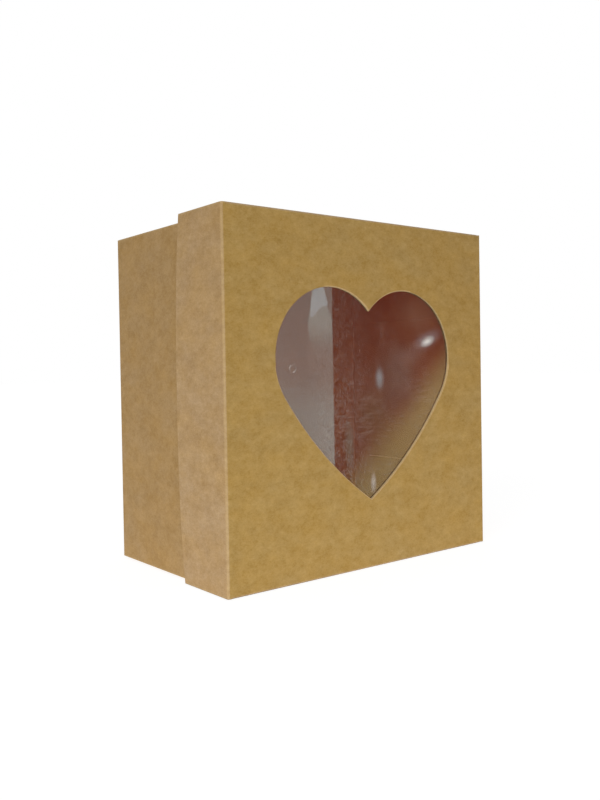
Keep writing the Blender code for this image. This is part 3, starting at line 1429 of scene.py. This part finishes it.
@dataclass
class AreaLamp:
    """A rectangular soft lamp.

    Attributes:
        name: Its name.
        place: The place of its middle.
        aim: A place that it looks at.
        side: Its size both ways.
        level: The light level at its own face.
    """

    name: str
    place: Point
    aim: Point
    side: float
    level: float

    def build(self) -> bpy.types.Object:
        """Hang the lamp and aim it.

        Returns:
            The lamp.
        """
        data = bpy.data.lights.new(self.name, "AREA")
        data.shape = "SQUARE"
        data.size = self.side
        data.energy = math.pi * self.side**2 * self.level
        lamp = bpy.data.objects.new(self.name, data)
        bpy.context.scene.collection.objects.link(lamp)
        place = Vector(self.place)
        lamp.location = place
        lamp.rotation_euler = (Vector(self.aim) - place).to_track_quat("-Z", "Y").to_euler()
        lamp.visible_camera = False
        lamp.visible_glossy = False
        return lamp


@dataclass
class PhotoCamera:
    """The camera at the photo's viewing angle, worked out from the box's edges in it.

    Attributes:
        place: Where it stands.
        yaw: Its turn to the right, away from +Y, in radians.
        pitch: Its turn upwards in radians.
        roll: Its turn about its own axis in radians.
        focal: Its focal length in pixels of the photo.
        drop: How far the photo's middle lies above the camera's axis, in pixels.
        pixels: The photo's height in pixels.
        sensor: The sensor's height in millimetres.
    """

    place: Point = EYE
    yaw: float = 0.6735
    pitch: float = -0.0190
    roll: float = -0.0166
    focal: float = 812.9
    drop: float = -19.5
    pixels: int = 800
    sensor: float = 36.0

    def build(self) -> bpy.types.Object:
        """Set the camera up and look through it.

        Returns:
            The camera.
        """
        data = bpy.data.cameras.new("camera")
        data.sensor_width = self.sensor
        data.sensor_fit = "AUTO"
        data.lens = self.sensor * self.focal / self.pixels
        data.shift_y = self.drop / self.pixels
        camera = bpy.data.objects.new("camera", data)
        bpy.context.scene.collection.objects.link(camera)
        level = Vector((math.cos(self.yaw), -math.sin(self.yaw), 0))
        reach = math.cos(self.pitch)
        ahead = Vector((-level.y * reach, level.x * reach, math.sin(self.pitch)))
        upright = level.cross(ahead)
        right = level * math.cos(self.roll) + upright * math.sin(self.roll)
        up = -level * math.sin(self.roll) + upright * math.cos(self.roll)
        turn = Matrix((right, up, -ahead)).transposed().to_4x4()
        camera.matrix_world = Matrix.Translation(self.place) @ turn
        bpy.context.scene.camera = camera
        return camera


@dataclass
class Studio:
    """A white floor and surround, soft lamps, painted reflections and the photo's camera.

    Attributes:
        ambient: The even light level from all round.
        floor_side: The floor's size both ways.
        floor_drop: How far the floor lies under the box, so that they don't touch.
        glow_reach: The distances from the box between which the floor's glow grows.
        glow: The floor's own glow at those distances, where 1 is white.
        shade: How much the floor shows of the lamps' light, and so of shadows.
        bounce: How much light the floor gives back to the box.
        lamps: The key lamp, in front and to the left, and the lit table round the box.
    """

    ambient: float = 0.365
    floor_side: float = 12.0
    floor_drop: float = 0.2 * MM
    glow_reach: tuple[float, float] = (0.3, 1.5)
    glow: tuple[float, float] = (0.87, 0.93)
    shade: float = 0.28
    bounce: float = 0.8
    lamps: tuple[AreaLamp, ...] = (
        AreaLamp("key_softbox", (-1.66, -1.50, 0.88), (0.0, 0.0, 0.1), side=1.8, level=3.2),
        AreaLamp("lit_table", (0, 0, -0.1 * MM), (0, 0, 1.0), side=0.62, level=0.8),
    )

    def build_world(self) -> None:
        """Light everything evenly, and show plain white to the camera and in gloss."""
        world = bpy.data.worlds.new("white_surround")
        bpy.context.scene.world = world
        world.use_nodes = True
        tree = world.node_tree
        tree.nodes.clear()
        even = add_node(tree, "Background", grey(1.0), self.ambient)
        white = add_node(tree, "Background", grey(1.0), 1.0)
        mixed = add_node(tree, "MixShader", seen_directly(tree), even, white)
        add_node(tree, "OutputWorld", mixed)

    def build_floor(self) -> bpy.types.Object:
        """Lay a wide floor that renders white but keeps the box's shadow.

        Returns:
            The floor.
        """
        sides = (self.floor_side, self.floor_side)
        floor = new_plane("studio_floor", *sides, (0, 0, -self.floor_drop))
        material, tree = new_material("white_floor")
        bounced = add_node(tree, "BsdfDiffuse", grey(self.bounce))
        shadowed = add_node(tree, "BsdfDiffuse", grey(self.shade))
        place = add_node(tree, "TexCoord").outputs["Object"]
        away = add_node(tree, "VectorMath", place, operation="LENGTH").outputs[1]
        level = add_node(tree, "MapRange", away, *self.glow_reach, *self.glow)
        glow = add_node(tree, "Emission", grey(1.0), level)
        white = add_node(tree, "AddShader", shadowed, glow)
        mixed = add_node(tree, "MixShader", seen_directly(tree), bounced, white)
        add_node(tree, "OutputMaterial", mixed)
        floor.data.materials.append(material)
        return floor

    def build(self) -> None:
        """Build the whole studio."""
        self.build_world()
        self.build_floor()
        for lamp in self.lamps:
            lamp.build()
        for shape in REFLECTIONS:
            Card(shape).build()
        PhotoCamera().build()
        bpy.context.scene.view_settings.view_transform = "Standard"


# ---------------------------------------------------------------------------- build


def tray_place(body: str, panel: str, away: int) -> dict[str, float | int]:
    """Read a tray's place and outer sizes from its CAD nodes.

    Args:
        body: The body, which starts its nodes' names.
        panel: The second part of its square panel's name.
        away: 1 where its walls run towards +Y from that panel, -1 towards -Y.

    Returns:
        The tray's side, depth, front, middle height and away, by name.
    """
    bottom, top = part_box(f"{body}_wall_bottom")[0][2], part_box(f"{body}_wall_top")[1][2]
    outer, rim = (1, 0) if away < 0 else (0, 1)
    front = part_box(f"{body}_{panel}")[outer][1]
    return {
        "side": top - bottom,
        "depth": abs(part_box(f"{body}_wall_top")[rim][1] - front),
        "front": front,
        "middle_height": (top + bottom) / 2,
        "away": away,
    }


def outer_folds(place: dict[str, float | int]) -> TrayFolds:
    """Give a tray's outer folds from its place and sizes."""
    return TrayFolds(place["side"] / 2, place["middle_height"], place["front"], place["away"])


def nodes_of(body: str, *words: str) -> list[str]:
    """List the CAD nodes whose names start with a body's name and one of some words.

    Args:
        body: The body, which starts its nodes' names.
        words: The second words of the names.

    Returns:
        The names, sorted.
    """
    starts = tuple(f"{body}_{word}" for word in words)
    return sorted(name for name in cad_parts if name.startswith(starts))


def main() -> None:
    """Build the studio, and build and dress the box."""
    logging.basicConfig(level=logging.INFO, format="%(message)s")
    Studio().build()
    LOG.info("studio: %d reflections", len(REFLECTIONS))

    # Inner liner, made redder than the outside board as painted shade: the deep red that light
    # takes on bouncing inside the closed box
    inside = KraftBoard("kraft_board_inside_red_shade", "#9E6B47", 0.34, seed=1.1).build()
    place = tray_place("lid", "face_panel", 1)
    folds = outer_folds(place)
    window = HeartWindow(middle_height=place["middle_height"], front=place["front"])
    lid = LidTray(
        name="lid_tray",
        body="lid",
        **place,
        flap_length=36.0 * MM,
        flap_taper=6.0 * MM,
        bow=3.0 * MM,
        finishes=TrayFinishes(
            # One board: the walls' pinker and the face's more olive tone are painted light, for
            # differently coloured light on the sides and the front
            wall=KraftBoard("kraft_board_lid_wall_side_light", "#A88A61", 0.45, folds=folds).build(),
            face=KraftBoard("kraft_board_lid_face_front_light", "#A4854B", 0.42, folds=folds).build(),
            edge=CUT_LID_EDGE.build(),
            inside=inside,
        ),
        slot="kraft_wall",
        window=window,
    ).build()
    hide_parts(*nodes_of("lid", "face", "wall", "flap"))
    LOG.info("lid tray: %d faces", len(lid.data.polygons))

    place = tray_place("base", "floor_panel", -1)
    board = KraftBoard("kraft_board_base", "#A08154", 0.41, 0.5, outer_folds(place)).build()
    base = FoldedTray(
        name="base_tray",
        body="base",
        **place,
        flap_length=48.0 * MM,
        flap_taper=14.0 * MM,
        bow=0.0,
        finishes=TrayFinishes(board, board, CUT_BASE_EDGE.build(), inside),
        slot="kraft_base",
    ).build()
    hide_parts(*nodes_of("base", "floor", "wall", "flap"))
    LOG.info("base tray: %d faces", len(base.data.polygons))

    WindowFilm().build()
    LOG.info("window film")
    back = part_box("lid_face_panel")[1][1]
    glue = GlueLine(window, back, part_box("window_film")[0][1] - back, DRIED_GLUE).build()
    LOG.info("film glue line: %d faces", len(glue.data.polygons))


if __name__ == "__main__":
    main()
